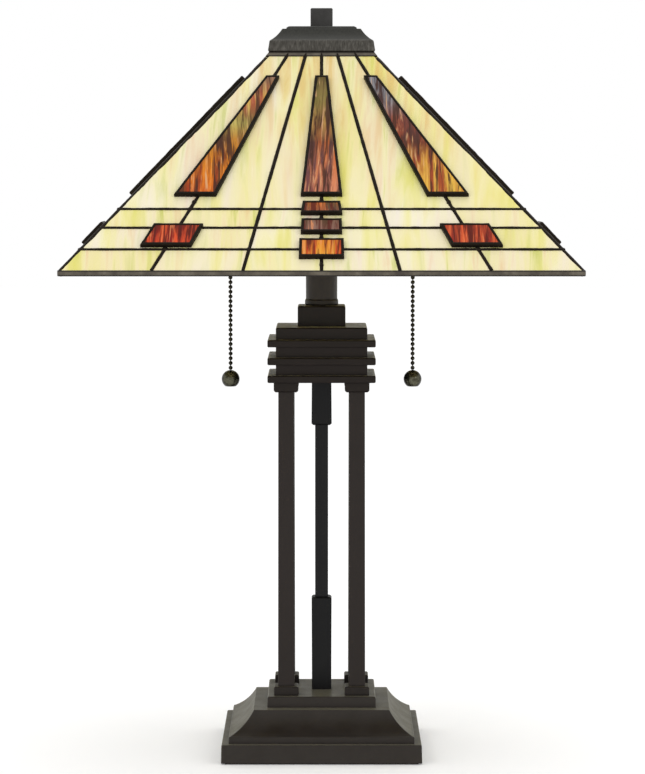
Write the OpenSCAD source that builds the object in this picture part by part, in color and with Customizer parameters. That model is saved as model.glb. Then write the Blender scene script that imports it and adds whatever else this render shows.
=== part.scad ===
// Mission-style table lamp. A square stepped base carries four posts round a
// centre tube, a stack of flanges, a pair of pull-chain sockets and a pyramid
// shade of leaded glass under a metal cap.
// Origin: middle of the underside. +Z is up and the front faces -Y. Millimetres.

/* [Base] */
// Side of the plinth where it stands
plinth_w = 163.8; // [158:0.1:168]
// Top of the plinth above the table
plinth_top = 16.1; // [15:0.1:17]
// Side of the lip round the foot of the cove
cove_lip_w = 151.4; // [146:0.1:154]
// Height of that lip
cove_lip_h = 5.7; // [4:0.1:7]
// Side of the cove at its top
cove_top_w = 111.2; // [108:0.1:114]
// Height of the cove block with its lip
cove_h = 24.4; // [23:0.1:26]
// Side of the pedestal plate that the posts stand on
pedestal_w = 89.6; // [88:0.1:92]
// Thickness of the pedestal plate
pedestal_h = 9; // [8:0.1:10]

/* [Column] */
// Distance between the centres of neighbouring posts
post_pitch = 58.3; // [57:0.1:60]
// Side of each square post at its foot
post_foot_w = 13.6; // [13:0.1:14.5]
// Side of each square post at its head
post_w = 12.8; // [12:0.1:13.5]
// Side of each foot and capital
post_block_w = 20.2; // [19:0.1:21]
// Height of a foot
foot_h = 7.4; // [7:0.1:8]
// Height of a capital
capital_h = 8.1; // [7.5:0.1:8.5]
// Height of the flanges' underside above the table
column_top = 308.4; // [304:0.1:312]
// Side of the square centre tube
centre_tube_w = 10.8; // [10:0.1:11.5]
// Length of the sleeve at the foot of the centre tube
lower_sleeve_h = 77.6; // [74:0.1:82]
// Length of the sleeve at the head of the centre tube
upper_sleeve_h = 37.7; // [35:0.1:41]

/* [Top block] */
// Side of the three flanges
flange_w = 88.6; // [87:0.1:90]
// Thickness of a flange
flange_h = 5.9; // [5.5:0.1:6.3]
// Distance from one flange to the next
flange_pitch = 14.6; // [14:0.1:15]
// Side of the blocks between the flanges
core_w = 75; // [74:0.1:76]
// Height of the core plate on the top flange
core_cap_h = 10; // [9:0.1:11]
// Side of the collar block
collar_w = 39.4; // [38:0.1:41]
// Height of the collar block
collar_h = 16.7; // [15:0.1:18]
// Diameter of the tube that rises into the shade
neck_d = 26; // [25:0.1:27]

/* [Shade] */
// Half the width of the glass at the rim
rim_half = 202.7; // [200:0.1:205]
// Height of the rim line above the table
rim_z = 405; // [403:0.1:407]
// Slope of the panels above the horizontal, in degrees
slope = 46.96; // [46.7:0.01:47.2]
// Length of the glass up the slope
glass_len = 234.3; // [233:0.1:235]
// Thickness of the glass
glass_t = 3; // [2.8:0.1:3.1]
// Width of the cames between the glass pieces
came_w = 2.3; // [2:0.1:2.6]
// How far the raised accents stand out of the panel
accent_rise = 4.2; // [3.6:0.1:4.6]

/* [Lamp holders] */
// Distance of each socket's axis from the middle
socket_x = 45; // [44:1:46]
// Height of the sockets' underside above the table
socket_z = 413; // [412:1:414]
// Distance of each pull chain from the middle
chain_x = 75.6; // [75:0.1:77]
// Height of the centre of each ball pull
ball_z = 308.7; // [306:0.1:311]
// Diameter of a ball pull
ball_d = 15; // [14.6:0.1:15.4]
// Diameter of a chain's beads
bead_d = 3.5; // [3.2:0.1:3.6]
// Distance from one bead to the next
bead_pitch = 3.95; // [3.9:0.01:4]

/* [Hidden] */
$fn = 48;
bronze = "#3a332e";
dark_steel = "#262626";
pewter = "#45433f";
steel = "#9a9a9c";
brass = "#8a713c";
cream_glass = "#efe6b4";
amber_glass = "#b4582a";
red_glass = "#b2402c";

felt_h = 1.2;
floor_h = 1.2;
wall = 4;
span = 1000;
cove_z = plinth_top;
pedestal_z = cove_z + cove_h;
post_z = pedestal_z + pedestal_h;
capital_z = column_top - capital_h;
cable_r = 3.5;
nipple_r = 5;
nipple_hole_r = nipple_r + 0.1;
boss_r = 8;
web = 3;
washer_r = 12.5;
tie_r = 2;
tie_hole_r = tie_r + 0.1;
tie_boss_r = 4.5;
tie_end = 6;
nut_h = 3.4;
tube_wall = 1.5;
bushing_z = plinth_top / 2;
bushing_r = cable_r + 1.2;
bushing_head_r = 6.2;
bushing_head_h = 1.2;
nipple_low = felt_h + floor_h + 0.4;
nipple_reach = 30;
top_nipple_low = column_top - 16;
stud_fit = 0.08;

core_cap_z = column_top + 2 * flange_pitch + flange_h;
collar_z = core_cap_z + core_cap_h;
ring_z = collar_z + collar_h;
ring_h = 5.2;
neck_z = ring_z + ring_h;
cluster_z = 396;
cluster_h = 18;
arm_z = socket_z - 10;

stud_r = 3.175;
seat_z = 574.7;
spider_h = 2.5;
cap_z = 578.5;
cap_top = 599.2;
finial_w = 18.2;
finial_h = 15.5;

cap_h = 15;
shell_h = 36;
shell_r = 16.5;
bulb_z = socket_z + 23;
screw_h = 25;
screw_r = 13;
bulb_r = 29;
bulb_len = 100;
elbow_z = socket_z + 19;
mouth_z = 410.5;

swing_z = mouth_z + 2.3;
lead_count = 3;
hang_z = swing_z - bead_pitch;
hang_count = floor((hang_z - ball_z - (ball_d + bead_d) / 2 + 0.1) / bead_pitch) + 1;
drop_z = hang_z - (hang_count - 1) * bead_pitch;
ball_flat = 6.1;

slot_depth = 1.5;
hip_gap = 2;
hip_r = 2.5;
hip_depth = 2.55;
rim_band = 6.4;
top_frame_half = 42.4;
top_hole_half = 38;
came_in = 3.3;
came_out = 0.7;
rim_came_v = 2.4;
top_came_v = 230.8;
rails = [23.2, 45.4, 64.9];
inner_seam = [60.5, 12.6];
outer_seam = [131, 27];
long_low = 78.9;
long_high = 205.4;

// ---- Shared shapes ----

// A solid of square plan: an outline of [half width, height] points, from the
// bottom up, mitred round the four sides.
module square_turned(outline) {
    last = len(outline) - 1;
    face = concat(outline, [for (i = [last : -1 : 0]) [-outline[i][0], outline[i][1]]]);
    intersection() {
        rotate([90, 0, 0]) linear_extrude(height = span, center = true) polygon(face);
        rotate([90, 0, 90]) linear_extrude(height = span, center = true) polygon(face);
    }
}

// A square slab from z up, w wide, with its lower and upper edges chamfered.
module slab(w, z, h, low = 0.6, high = 0.6) {
    square_turned([[w / 2 - low, z], [w / 2, z + low], [w / 2, z + h - high], [w / 2 - high, z + h]]);
}

// A round hole or rod on the axis.
module rod(r, z, h) {
    translate([0, 0, z]) cylinder(r = r, h = h);
}

// A hexagonal nut with its bore.
module hex_nut(r, bore_r, z, h) {
    difference() {
        translate([0, 0, z]) cylinder(r = r, h = h, $fn = 6);
        rod(bore_r, z - 1, h + 2);
    }
}

// The space under a hollow casting, round the boss that the nipple passes through.
module pocket(w, z, h) {
    difference() {
        translate([0, 0, z - 1]) linear_extrude(h + 1) square(w - 2 * wall, center = true);
        rod(boss_r, z - 2, h + 3);
    }
}

module at_posts() {
    for (x = [-1, 1], y = [-1, 1]) translate([x, y, 0] * post_pitch / 2) children();
}

module at_sockets() {
    for (side = [-1, 1]) translate([side * socket_x, 0, 0]) children();
}

// ---- Base ----

module felt_pad() {
    color("#2f2a26") difference() {
        linear_extrude(felt_h) square(plinth_w - 6, center = true);
        rod(16, -1, felt_h + 2);
    }
}

module base_cover_plate() {
    color(steel) difference() {
        translate([0, 0, felt_h]) linear_extrude(floor_h)
            square(plinth_w - 2 * wall - 1, center = true);
        rod(nipple_r + 0.5, 0, plinth_top);
    }
}

module base_plinth() {
    half = plinth_w / 2;
    color(bronze) difference() {
        square_turned([[half, felt_h], [half, 3], [half - 0.4, plinth_top - 0.8], [half - 1, plinth_top]]);
        linear_extrude(plinth_top - wall) square(plinth_w - 2 * wall, center = true);
        rod(nipple_hole_r, 0, plinth_top + 1);
        at_bushing() cylinder(r = bushing_r + 0.1, h = 3 * wall, center = true);
    }
}

// Places a rod or hole at the inner face of the plinth's back wall, pointing out.
module at_bushing() {
    translate([0, plinth_w / 2 - wall, bushing_z]) rotate([-90, 0, 0]) children();
}

module cord_bushing() {
    color("#1c1a18") at_bushing() difference() {
        union() {
            cylinder(r = bushing_r, h = wall);
            translate([0, 0, wall])
                cylinder(r1 = bushing_head_r, r2 = bushing_head_r - 0.8, h = bushing_head_h);
        }
        cylinder(r = cable_r, h = 4 * wall, center = true);
    }
}

module ballast_weight() {
    z = felt_h + floor_h;
    color("#55524e") difference() {
        translate([0, 0, z]) linear_extrude(plinth_top - wall - z)
            square(plinth_w - 2 * wall - 14, center = true);
        rod(washer_r + 1.5, 0, plinth_top);
    }
}

module base_cove() {
    steps = 16;
    flat = 27;
    steep = 62;
    foot = cove_lip_w / 2 - 1;
    head = cove_top_w / 2;
    lip = cove_z + cove_lip_h;
    rise = cove_h - cove_lip_h;
    // The cove is part of a circle's quarter that starts flat and ends steep.
    cove = [for (i = [0 : steps]) let (a = flat + (steep - flat) * i / steps)
        [foot - (foot - head) * (sin(a) - sin(flat)) / (sin(steep) - sin(flat)),
            lip + rise * (cos(flat) - cos(a)) / (cos(flat) - cos(steep))]];
    color(bronze) difference() {
        square_turned(concat([[foot + 1, cove_z], [foot + 1, lip - 0.6], [foot + 0.4, lip]], cove));
        difference() {
            square_turned(concat([[foot - wall, cove_z - 1]], [for (p = cove) p - [wall, wall]]));
            rod(boss_r, 0, span);
        }
        rod(nipple_hole_r, 0, span);
        at_posts() rod(tie_hole_r, 0, span);
    }
}

module pedestal_plate() {
    half = pedestal_w / 2;
    color(bronze) difference() {
        square_turned([[half, pedestal_z], [half - 0.3, post_z - 0.8], [half - 1.1, post_z]]);
        difference() {
            pocket(pedestal_w, pedestal_z, pedestal_h - web);
            at_posts() rod(tie_boss_r, 0, span);
        }
        rod(nipple_hole_r, 0, span);
        at_posts() rod(tie_hole_r, 0, span);
    }
}

// A threaded pipe that clamps the base and stands up inside the lower sleeve.
module base_nipple() {
    color(steel) difference() {
        rod(nipple_r, nipple_low, post_z + nipple_reach - nipple_low);
        rod(cable_r, 0, span);
    }
}

module base_locknut() {
    washer_h = 1.2;
    washer_z = plinth_top - wall - washer_h;
    color(steel) union() {
        hex_nut(9, nipple_r, washer_z - 4.3, 4.3);
        difference() {
            rod(washer_r, washer_z, washer_h);
            rod(nipple_r, 0, span);
        }
    }
}

// ---- Column ----

module post_feet() {
    color(bronze) at_posts() difference() {
        slab(post_block_w, post_z, foot_h, 0.3, 0.8);
        rod(tie_hole_r, post_z - 1, foot_h + 2);
    }
}

// Square tubes that taper slightly upwards, open at both ends.
module posts() {
    z = post_z + foot_h;
    color(bronze) at_posts() difference() {
        square_turned([[post_foot_w / 2, z], [post_w / 2, capital_z]]);
        translate([0, 0, z - 1]) linear_extrude(capital_z - z + 2)
            square(post_w - 2 * tube_wall, center = true);
    }
}

module post_capitals() {
    color(bronze) at_posts() difference() {
        slab(post_block_w, capital_z, capital_h, 1.4, 0.3);
        rod(tie_hole_r, capital_z - 1, capital_h + 2);
    }
}

// Four long rods clamp the cove, the pedestal, the posts and the lowest flange.
module post_tie_rods() {
    low = pedestal_z - wall - tie_end;
    high = column_top + flange_h + tie_end;
    color(steel) at_posts() rod(tie_r, low, high - low);
}

module post_nuts() {
    color(steel) at_posts() union() {
        hex_nut(2 * tie_r, tie_r, pedestal_z - wall - nut_h, nut_h);
        hex_nut(2 * tie_r, tie_r, column_top + flange_h, nut_h);
    }
}

module lower_sleeve() {
    low = 16.1 / 2;
    high = 16.7 / 2;
    top = post_z + lower_sleeve_h;
    color(dark_steel) difference() {
        square_turned([[low, post_z], [high, top - 1.2], [high - 1.4, top]]);
        rod(nipple_hole_r, post_z - 1, nipple_reach + 1.5);
        rod(cable_r, 0, span);
    }
}

module centre_tube() {
    z = post_z + lower_sleeve_h;
    color(dark_steel) difference() {
        translate([0, 0, z]) linear_extrude(column_top - upper_sleeve_h - z)
            square(centre_tube_w, center = true);
        rod(cable_r, 0, span);
    }
}

module upper_sleeve() {
    low = 16.8 / 2;
    high = 16.2 / 2;
    z = column_top - upper_sleeve_h;
    color(dark_steel) difference() {
        square_turned([[low - 1.6, z], [low, z + 1.4], [high, column_top]]);
        rod(cable_r, 0, span);
        rod(nipple_hole_r, top_nipple_low - 0.5, span);
    }
}

// ---- Top block ----

module flange(z) {
    difference() {
        slab(flange_w, z, flange_h, 0.7, 0.7);
        rod(nipple_hole_r, z - 1, flange_h + 2);
        children();
    }
}

module lower_flange() {
    color(bronze) flange(column_top) at_posts() rod(tie_hole_r, column_top - 1, flange_h + 2);
}

module middle_flange() {
    color(bronze) flange(column_top + flange_pitch);
}

module upper_flange() {
    color(bronze) flange(column_top + 2 * flange_pitch);
}

// The lower spacer's pocket also holds the nuts of the tie rods.
module flange_spacers() {
    h = flange_pitch - flange_h;
    color(bronze) for (z = [column_top + flange_h, column_top + flange_pitch + flange_h]) difference() {
        translate([0, 0, z]) linear_extrude(h) square(core_w, center = true);
        pocket(core_w, z, tie_end + 0.2);
        rod(nipple_hole_r, z - 1, h + 2);
    }
}

module core_plate() {
    color(bronze) difference() {
        slab(core_w, core_cap_z, core_cap_h, 0.2, 0.8);
        pocket(core_w, core_cap_z, core_cap_h - web);
        rod(nipple_hole_r, core_cap_z - 1, core_cap_h + 2);
    }
}

module collar_block() {
    color(bronze) difference() {
        slab(collar_w, collar_z, collar_h, 0.2, 0.8);
        pocket(collar_w, collar_z, collar_h - web);
        rod(nipple_hole_r, collar_z - 1, collar_h + 2);
    }
}

module neck_ring() {
    r = neck_d / 2;
    color(bronze) rotate_extrude() polygon([[nipple_hole_r, ring_z], [r + 0.3, ring_z],
        [r + 0.8, ring_z + 1], [r + 0.8, ring_z + ring_h - 1.2], [r + 0.2, ring_z + ring_h],
        [nipple_hole_r, ring_z + ring_h]]);
}

module neck_tube() {
    color(bronze) difference() {
        rod(neck_d / 2, neck_z, cluster_z - neck_z);
        rod(neck_d / 2 - 2, neck_z - 1, cluster_z - neck_z + 2);
    }
}

module top_nipple() {
    color(steel) difference() {
        rod(nipple_r, top_nipple_low, cluster_z + 8 - top_nipple_low);
        rod(cable_r, 0, span);
    }
}

// Two insulated wires run up the bores from the base to the cluster.
module lead_wires() {
    z = felt_h + floor_h + 2;
    color("#b8a27a") for (side = [-1, 1]) translate([side * 1.3, 0, z])
        cylinder(r = 1.1, h = cluster_z + 6 - z);
}

// ---- Lamp holders ----

module cluster_body() {
    r = 18;
    color(bronze) difference() {
        rotate_extrude() polygon([[0, cluster_z], [r - 3, cluster_z], [r, cluster_z + 3],
            [r, cluster_z + cluster_h - 4], [r - 4, cluster_z + cluster_h], [0, cluster_z + cluster_h]]);
        rotate_extrude() polygon([[0, cluster_z + 2], [r - 4, cluster_z + 2], [r - 2.4, cluster_z + 4],
            [r - 2.4, cluster_z + cluster_h - 5], [0, cluster_z + cluster_h - 5]]);
        rod(nipple_hole_r, cluster_z - 1, 4);
        rod(4.8, cluster_z + cluster_h - 6, 8);
        for (side = [0, 180]) rotate(side) translate([10, 0, arm_z]) rotate([0, 90, 0])
            cylinder(r = 4.5, h = 10);
    }
}

// Each arm leaves the cluster level and turns up into its socket.
module cluster_arms() {
    bend = socket_z - arm_z;
    start = 15;
    color(bronze) for (side = [0, 180]) rotate(side) difference() {
        union() {
            translate([start, 0, arm_z]) rotate([0, 90, 0]) cylinder(r = 4.5, h = socket_x - bend - start);
            translate([socket_x - bend, 0, socket_z]) rotate([90, 0, 0]) rotate(-90)
                rotate_extrude(angle = 90) translate([bend, 0]) circle(r = 4.5);
        }
        translate([start - 1, 0, arm_z]) rotate([0, 90, 0]) cylinder(r = 3, h = socket_x - bend - start + 1);
    }
}

module socket_caps() {
    color(brass) at_sockets() rotate_extrude() polygon([[4, socket_z], [7, socket_z], [9, socket_z + 4],
        [shell_r - 2, socket_z + 8], [shell_r, socket_z + 11], [shell_r, socket_z + cap_h],
        [shell_r - 1, socket_z + cap_h], [shell_r - 1, socket_z + 11.5], [shell_r - 3, socket_z + 9.2],
        [8, socket_z + 5.2], [6, socket_z + 1], [4, socket_z + 1]]);
}

// The cylinder that a chain's nozzle passes through, on the outer side.
module nozzle_hole(r) {
    for (side = [0, 180]) rotate(side) translate([socket_x + 8, 0, elbow_z]) rotate([0, 90, 0])
        cylinder(r = r, h = 12);
}

module socket_shells() {
    z = socket_z + cap_h;
    color(brass) difference() {
        at_sockets() difference() {
            rod(shell_r, z, shell_h);
            rod(shell_r - 0.8, z - 1, shell_h + 2);
        }
        nozzle_hole(3.4);
    }
}

module socket_liners() {
    z = socket_z + cap_h;
    color("#8d7a5a") difference() {
        at_sockets() difference() {
            rod(shell_r - 0.8, z, shell_h);
            rod(shell_r - 1.8, z - 1, shell_h + 2);
        }
        nozzle_hole(3.4);
    }
}

// The switch block with its centre contact, and the screw shell above it.
module socket_interiors() {
    z = socket_z + 9;
    color("#2a2622") difference() {
        at_sockets() union() {
            rod(6, z, 7);
            rod(shell_r - 1.9, z + 7, bulb_z - z - 9);
            rod(3, bulb_z - 3, 2.9);
            difference() {
                rod(screw_r + 1.4, bulb_z - 2.5, 26);
                rod(screw_r + 0.3, bulb_z - 1.5, 30);
            }
        }
        nozzle_hole(3.4);
    }
}

// A short elbow whose bell mouth lets the chain hang clear of the socket.
module chain_nozzles() {
    bore = 2.2;
    color(brass) for (side = [0, 180]) rotate(side) difference() {
        union() {
            translate([socket_x + shell_r - 4, 0, elbow_z]) rotate([0, 90, 0])
                cylinder(r = 3.3, h = chain_x - socket_x - shell_r + 4);
            translate([chain_x, 0, elbow_z]) sphere(r = 3.3);
            translate([chain_x, 0, 0]) rod(3.3, mouth_z + 3, elbow_z - mouth_z - 3);
            translate([chain_x, 0, mouth_z]) cylinder(r1 = 4.8, r2 = 3.3, h = 3);
        }
        translate([socket_x + shell_r - 5, 0, elbow_z]) rotate([0, 90, 0])
            cylinder(r = bore, h = chain_x - socket_x - shell_r + 5);
        translate([chain_x, 0, elbow_z]) sphere(r = bore);
        translate([chain_x, 0, 0]) rod(bore, mouth_z - 1, elbow_z - mouth_z + 1);
        translate([chain_x, 0, mouth_z - 0.1]) cylinder(r1 = 3.9, r2 = bore, h = 2.5);
    }
}

module riser_rod() {
    z = cluster_z + cluster_h - 5;
    color(steel) union() {
        rod(4.8, z, seat_z - 4 - z);
        rod(stud_r, seat_z - 4.5, cap_top + 12.5 - seat_z + 4.5);
    }
}

module riser_locknut() {
    color(steel) union() {
        hex_nut(7.5, stud_r, seat_z - 4, 2.8);
        difference() {
            rod(10, seat_z - 1.2, 1.2);
            rod(stud_r, seat_z - 2, 3);
        }
    }
}

// The envelope of a household bulb: a tapered neck that runs into a ball.
module bulb_glass() {
    low = bulb_z + screw_h;
    ball = bulb_z + bulb_len - bulb_r;
    start = -52;
    outer = [for (i = [0 : 20]) let (a = start + (90 - start) * i / 20)
        [bulb_r * cos(a), ball + bulb_r * sin(a)]];
    inner = [for (p = outer) let (k = (bulb_r - 1) / bulb_r) [p[0] * k, ball + (p[1] - ball) * k]];
    color("#f4f1e6") rotate_extrude() polygon(concat([[12.4, low], [13.4, low]], outer,
        [for (i = [20 : -1 : 0]) inner[i]]));
}

module bulb_base() {
    color("#b9b4a6") rotate_extrude() polygon([[0, bulb_z], [5, bulb_z], [8, bulb_z + 3],
        [screw_r - 1, bulb_z + 5], [screw_r, bulb_z + 6], [screw_r, bulb_z + screw_h - 2],
        [screw_r - 0.3, bulb_z + screw_h], [0, bulb_z + screw_h]]);
}

module left_bulb_glass() {
    translate([-socket_x, 0, 0]) bulb_glass();
}

module left_bulb_base() {
    translate([-socket_x, 0, 0]) bulb_base();
}

module right_bulb_glass() {
    translate([socket_x, 0, 0]) bulb_glass();
}

module right_bulb_base() {
    translate([socket_x, 0, 0]) bulb_base();
}

// ---- Pull chains ----

// Beads on a wire, the lowest at z and each one pitch above the last.
module beads(z, count, wire_top) {
    color(brass) union() {
        for (i = [0 : count - 1]) translate([0, 0, z + i * bead_pitch]) sphere(r = bead_d / 2, $fn = 24);
        rod(0.5, z, wire_top - z);
    }
}

// The chain swings about the lowest bead of its lead.
module chain_lead() {
    beads(swing_z, lead_count, swing_z + (lead_count - 1) * bead_pitch);
}

// The wire of its top link reaches up to the bead that it swings about.
module hanging_chain() {
    beads(drop_z, hang_count, swing_z - bead_d / 2 - 0.05);
}

// A ball with a flat underside and a short collar against the lowest bead.
module ball_pull() {
    color(brass) union() {
        intersection() {
            translate([0, 0, ball_z]) sphere(r = ball_d / 2);
            rod(ball_d, ball_z - ball_flat, 2 * ball_d);
        }
        rod(1.2, ball_z + ball_d / 2 - 0.6, drop_z - (ball_d + bead_d) / 2 - ball_z + 0.5);
    }
}

module left_chain_lead() {
    translate([-chain_x, 0, 0]) chain_lead();
}

module right_chain_lead() {
    translate([chain_x, 0, 0]) chain_lead();
}

module left_chain() {
    translate([-chain_x, 0, 0]) hanging_chain();
}

module right_chain() {
    translate([chain_x, 0, 0]) hanging_chain();
}

module left_ball_pull() {
    translate([-chain_x, 0, 0]) ball_pull();
}

module right_ball_pull() {
    translate([chain_x, 0, 0]) ball_pull();
}

// ---- Shade ----

// Places a drawing on a panel: x runs along the rim, y up the slope, z outwards.
// Side 0 is the front, then right, back and left.
module on_panel(side) {
    rotate(90 * side) translate([0, -rim_half, rim_z]) rotate([slope, 0, 0]) children();
}

// Half the panel's width at v up the slope.
function half_width(v) = rim_half - v * cos(slope);

// The [half width, height] of a point v up the slope and n outside the panel.
function wall_point(v, n) = [half_width(v) + n * sin(slope), rim_z + v * sin(slope) + n * cos(slope)];

// The panel between two heights up the slope, clear of the hips.
module panel_area(low, high) {
    inset = hip_gap / cos(atan(cos(slope)));
    polygon([[-half_width(low) + inset, low], [half_width(low) - inset, low],
        [half_width(high) - inset, high], [-half_width(high) + inset, high]]);
}

module bar(a, b) {
    along = b - a;
    translate(a) rotate(atan2(along[1], along[0])) translate([0, -came_w / 2]) square([norm(along), came_w]);
}

// The seams that fan out from the top and the rails that run along the rim.
module seam_lines() {
    bar([0, 0], [0, glass_len]);
    for (s = [-1, 1], seam = [inner_seam, outer_seam]) bar([s * seam[0], 0], [s * seam[1], glass_len]);
    for (v = rails) bar([-rim_half, v], [rim_half, v]);
}

// A four-sided accent from its bottom and top heights, centres and half widths.
function accent(v, centre, half) = [[centre[0] - half[0], v[0]], [centre[0] + half[0], v[0]],
    [centre[1] + half[1], v[1]], [centre[1] - half[1], v[1]]];

function long_accents() = [for (s = [-1, 0, 1]) accent([long_low, long_high], s * [98.1, 39.8],
    [15, 4.25])];

// Small rectangles on the rails in the middle, and a slanted pair on the outer seams.
function border_accents() = concat(
    [for (r = [[59.3, 69.5, 14.9, 13.6], [39.6, 51.2, 14.9, 14.5], [14.3, 30.7, 16.3, 16]])
        accent([r[0], r[1]], [0, 0], [r[2], r[3]])],
    [for (s = [-1, 1]) let (v = [rails[0] + 3.1, rails[1] + 0.6])
        accent(v, s * [119.4, 111], [18.4, 17.9])]);

// Where two lines, each a point and a direction, cross.
function crossing(p, u, q, w) = p + u * ((q - p)[0] * w[1] - (q - p)[1] * w[0]) / (u[0] * w[1] - u[1] * w[0]);

// A convex outline, counter-clockwise, with every side moved out by d.
function grown(points, d) = let (n = len(points),
    side = [for (i = [0 : n - 1]) points[(i + 1) % n] - points[i]],
    moved = [for (i = [0 : n - 1]) points[i] + [side[i][1], -side[i][0]] * d / norm(side[i])])
    [for (i = [0 : n - 1]) let (j = (i + n - 1) % n) crossing(moved[j], side[j], moved[i], side[i])];

module accent_shapes(accents, d) {
    for (a = accents) polygon(grown(a, d));
}

module every_accent(d) {
    accent_shapes(long_accents(), d);
    accent_shapes(border_accents(), d);
}

module field_glass(side) {
    color(cream_glass) on_panel(side) translate([0, 0, -glass_t]) linear_extrude(glass_t) difference() {
        panel_area(slot_depth, glass_len);
        seam_lines();
        every_accent(came_w / 2);
    }
}

module field_glass_front() {
    field_glass(0);
}

module field_glass_right() {
    field_glass(1);
}

module field_glass_back() {
    field_glass(2);
}

module field_glass_left() {
    field_glass(3);
}

module accent_glass(accents) {
    for (side = [0 : 3]) on_panel(side) translate([0, 0, accent_rise - glass_t - 0.4]) linear_extrude(glass_t)
        accent_shapes(accents, -came_w / 2);
}

module long_accent_glass() {
    color(amber_glass) accent_glass(long_accents());
}

module border_accent_glass() {
    color(red_glass) accent_glass(border_accents());
}

// The lead between the pieces: flat cames along the seams, and a raised frame
// round each accent.
module leading() {
    color(dark_steel) for (side = [0 : 3]) on_panel(side) translate([0, 0, -came_in]) union() {
        linear_extrude(came_in + came_out) difference() {
            intersection() {
                panel_area(rim_came_v, top_came_v);
                union() {
                    seam_lines();
                    every_accent(came_w / 2);
                }
            }
            every_accent(-came_w / 2);
        }
        linear_extrude(came_in + accent_rise) difference() {
            every_accent(came_w / 2);
            every_accent(-came_w / 2);
        }
    }
}

// What the panels' glass and cames fill, with the slots that hold them.
module panel_slots() {
    for (side = [0 : 3]) on_panel(side) {
        translate([0, 0, -glass_t]) linear_extrude(glass_t) panel_area(slot_depth, glass_len);
        translate([0, 0, -came_in]) linear_extrude(came_in + came_out) panel_area(rim_came_v, top_came_v);
    }
}

module rim_frame() {
    low = rim_z - 3.2;
    high = rim_z + 1.4;
    outer = rim_half - 0.3;
    inner = outer - rim_band;
    color(dark_steel) difference() {
        square_turned([[outer - 0.4, low], [outer, low + 0.4], [outer, high - 0.4], [outer - 0.4, high]]);
        square_turned([[inner, low - 1], [inner, high + 1]]);
        panel_slots();
        hip_rods();
    }
}

// The rods that run up the four hips.
module hip_rods() {
    foot = wall_point(rim_came_v + 0.6, 0);
    head = wall_point(top_came_v - 0.6, 0);
    rise = head[1] - foot[1];
    run = (foot[0] - head[0]) * sqrt(2);
    length = norm([rise, run]);
    for (k = [0 : 3]) rotate(45 + 90 * k)
        translate([foot[0] * sqrt(2) - hip_depth * rise / length, 0, foot[1] - hip_depth * run / length])
        rotate([0, -atan2(run, rise), 0]) cylinder(r = hip_r, h = length);
}

// Grooved by the panels on both sides.
module hip_cames() {
    color(dark_steel) difference() {
        hip_rods();
        panel_slots();
    }
}

module top_frame() {
    low = wall_point(top_came_v + 0.5, 0.7);
    color(pewter) difference() {
        square_turned([[low[0] - 4, low[1] - 4], low, [top_frame_half + 0.6, cap_z - 1],
            [top_frame_half, cap_z]]);
        square_turned([[top_hole_half, rim_z], [top_hole_half, span]]);
        panel_slots();
    }
}

module shade_spider() {
    color(steel) difference() {
        union() {
            rod(15, seat_z, spider_h);
            translate([0, 0, seat_z]) linear_extrude(spider_h) for (turn = [0, 90]) rotate(turn)
                square([2 * top_hole_half, 10], center = true);
        }
        rod(stud_r + stud_fit, seat_z - 1, spider_h + 2);
    }
}

module cap() {
    eave = 43.5;
    shoulder = 42.3;
    ledge = 32.2;
    plate = 28.6;
    roof_z = 587.2;
    roof_top = 597;
    steps = 10;
    flat = 28;
    steep = 56;
    // The roof is part of a circle that starts shallow and ends steep.
    roof = [for (i = [0 : steps]) let (a = flat + (steep - flat) * i / steps)
        [shoulder - 0.7 - (shoulder - 0.7 - ledge) * (sin(a) - sin(flat)) / (sin(steep) - sin(flat)),
            roof_z + 0.2 + (roof_top - roof_z - 0.5) * (cos(flat) - cos(a)) / (cos(flat) - cos(steep))]];
    color(pewter) difference() {
        square_turned(concat([[eave - 0.4, cap_z], [eave, cap_z + 0.6], [shoulder, roof_z - 0.5],
            [shoulder - 0.5, roof_z]], roof, [[ledge - 0.4, roof_top], [plate + 0.2, roof_top],
            [plate, roof_top + 1.2], [plate - 2, cap_top]]));
        square_turned([[eave - 3, cap_z - 1], [eave - 3, roof_z - 2], [ledge - 6, roof_top - 3.2],
            [ledge - 8, roof_top - 2.4]]);
        rod(stud_r + stud_fit, cap_z, 30);
    }
}

module finial() {
    color(pewter) difference() {
        slab(finial_w, cap_top, finial_h, 0.5, 0.7);
        rod(stud_r + stud_fit, cap_top - 1, 14.2);
    }
}

felt_pad();
base_cover_plate();
ballast_weight();
base_plinth();
base_cove();
pedestal_plate();
cord_bushing();
base_nipple();
base_locknut();
post_feet();
posts();
post_capitals();
post_tie_rods();
post_nuts();
lower_sleeve();
centre_tube();
upper_sleeve();
lower_flange();
middle_flange();
upper_flange();
flange_spacers();
core_plate();
collar_block();
neck_ring();
neck_tube();
top_nipple();
lead_wires();
cluster_body();
cluster_arms();
socket_caps();
socket_shells();
socket_liners();
socket_interiors();
chain_nozzles();
riser_rod();
riser_locknut();
left_bulb_glass();
left_bulb_base();
right_bulb_glass();
right_bulb_base();
left_chain_lead();
right_chain_lead();
left_chain();
right_chain();
left_ball_pull();
right_ball_pull();
shade_spider();
top_frame();
rim_frame();
hip_cames();
leading();
field_glass_front();
field_glass_right();
field_glass_back();
field_glass_left();
long_accent_glass();
border_accent_glass();
cap();
finial();
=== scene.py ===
"""The looks of the leaded-glass table lamp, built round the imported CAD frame, in metres."""

import math
import random

import bmesh
import bpy
import numpy as np
from mathutils import Matrix, Vector, noise


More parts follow.
